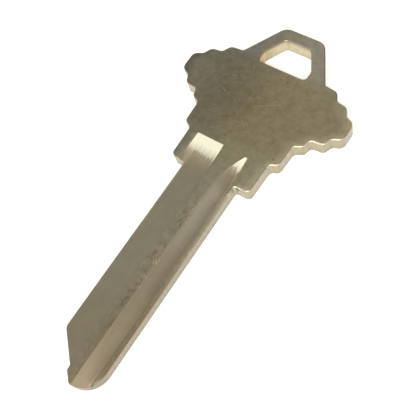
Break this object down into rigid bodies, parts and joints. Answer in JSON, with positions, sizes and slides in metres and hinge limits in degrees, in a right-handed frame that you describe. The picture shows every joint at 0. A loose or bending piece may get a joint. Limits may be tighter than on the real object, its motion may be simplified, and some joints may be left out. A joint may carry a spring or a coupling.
{
  "type": "key blank",
  "caption": "Flat brass key blank with a stepped bow, a ring hole in its hanger, a shoulder stop and an uncut blade milled with a pocket and grooves.",
  "frame": {"origin": "on the centre line of the blade, in the plane of the shoulder stop, on the back face", "axes": "+X from the tip of the blade towards the bow, +Y towards the cut edge, +Z out of the front face; the blank lies on its back"},
  "size_m": [0.061, 0.028, 0.0025],
  "materials": {
    "brass": "tarnished satin brass, bright where it was milled"
  },
  "bodies": {
    "root": {"key_blank": "brass"}
  },
  "joints": []
}
